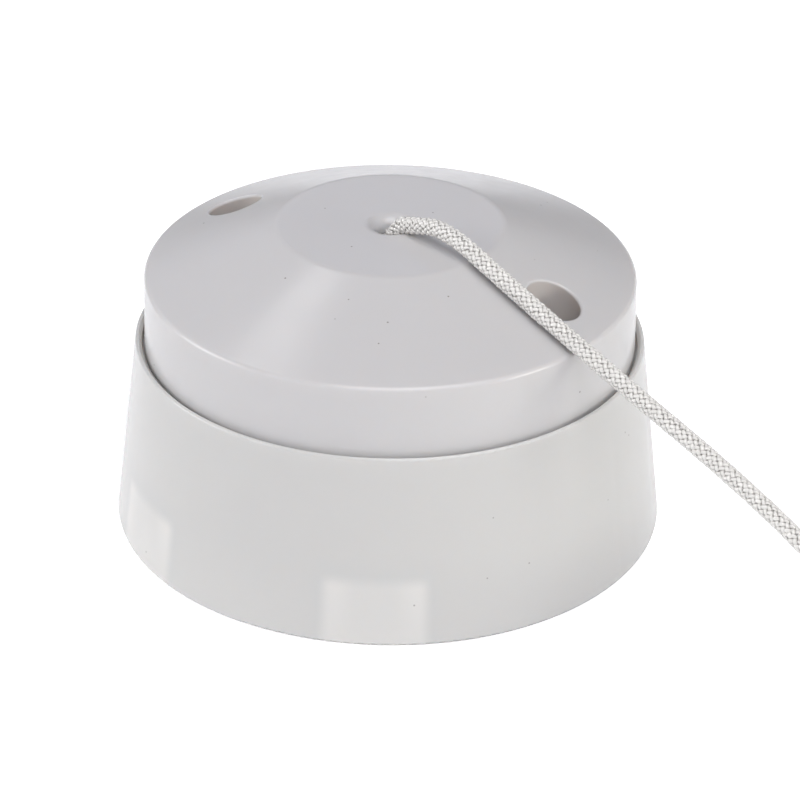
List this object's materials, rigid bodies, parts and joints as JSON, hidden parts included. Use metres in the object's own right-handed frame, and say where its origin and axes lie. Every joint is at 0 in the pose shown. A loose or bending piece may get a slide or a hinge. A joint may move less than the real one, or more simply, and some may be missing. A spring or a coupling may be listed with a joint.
{
  "type": "ceiling pull cord switch",
  "caption": "Round ceiling switch with a tapered mounting block, a conical cover and a braided cord that works a ratchet contact.",
  "frame": {"origin": "centre of the ceiling face of the mounting block", "axes": "+Z from the ceiling face to the cord outlet, +X through the two cover screws; the part stands on its ceiling face"},
  "size_m": [0.1786, 0.0872, 0.0471],
  "materials": {
    "housing": "smooth moulded white plastic",
    "frame": "moulded plastic",
    "moving_plastic": "low-friction moulded plastic",
    "brass": "bright",
    "silver": "contact metal",
    "steel": "zinc plated",
    "spring_steel": "drawn wire and strip",
    "cord": "braided polyester",
    "tie": "thin band",
    "pull": "smooth moulded white plastic"
  },
  "bodies": {
    "housing": {"mounting_block": "housing", "cover": "housing", "cover_screws": "steel", "block_inserts": "brass", "mechanism_frame": "frame", "frame_screws": "steel", "terminal_plate": "frame", "plate_screws": "steel", "common_terminal": "brass", "live_terminal": "brass", "terminal_screws": "brass", "fixed_contact": "brass", "fixed_contact_tip": "silver", "rotor_axle": "steel", "detent_spring": "spring_steel", "return_spring": "spring_steel", "contact_spring": "spring_steel", "earth_terminal": "brass", "earth_screw": "brass", "cord_tail": "cord", "cord": "cord", "cord_coil": "cord", "coil_tie": "tie", "cord_end_run": "cord", "cord_end_pull": "pull", "cord_end_knot": "cord"},
    "slider": {"pull_slider": "moving_plastic", "cord_knot": "cord"},
    "rotor": {"ratchet_cam": "moving_plastic"},
    "blade": {"contact_blade": "brass", "moving_contact_tip": "silver"}
  },
  "joints": [
    {"name": "pull_slide", "type": "slide", "parent": "housing", "child": "slider", "axis": [0, 0, 1], "range_m": [0, 0.007], "stiffness_N_per_m": 300, "springref_m": -0.01, "deforming": ["return_spring", "cord_tail"]},
    {"name": "ratchet_turn", "type": "hinge", "parent": "housing", "child": "rotor", "pos_m": [0, 0.01316, 0.0263], "axis": [-1, 0, 0], "range_deg": [0, 60], "deforming": ["detent_spring"]},
    {"name": "blade_rock", "type": "hinge", "parent": "housing", "child": "blade", "pos_m": [0.0052, 0.01886, 0.01735], "axis": [-1, 0, 0], "range_deg": [0, 9], "deforming": ["contact_spring"]}
  ],
  "couplings": [
    {"joint": "ratchet_turn", "follows": "pull_slide", "rad_per_m": 149.59},
    {"joint": "blade_rock", "follows": "pull_slide", "rad_per_m": 22.43}
  ]
}
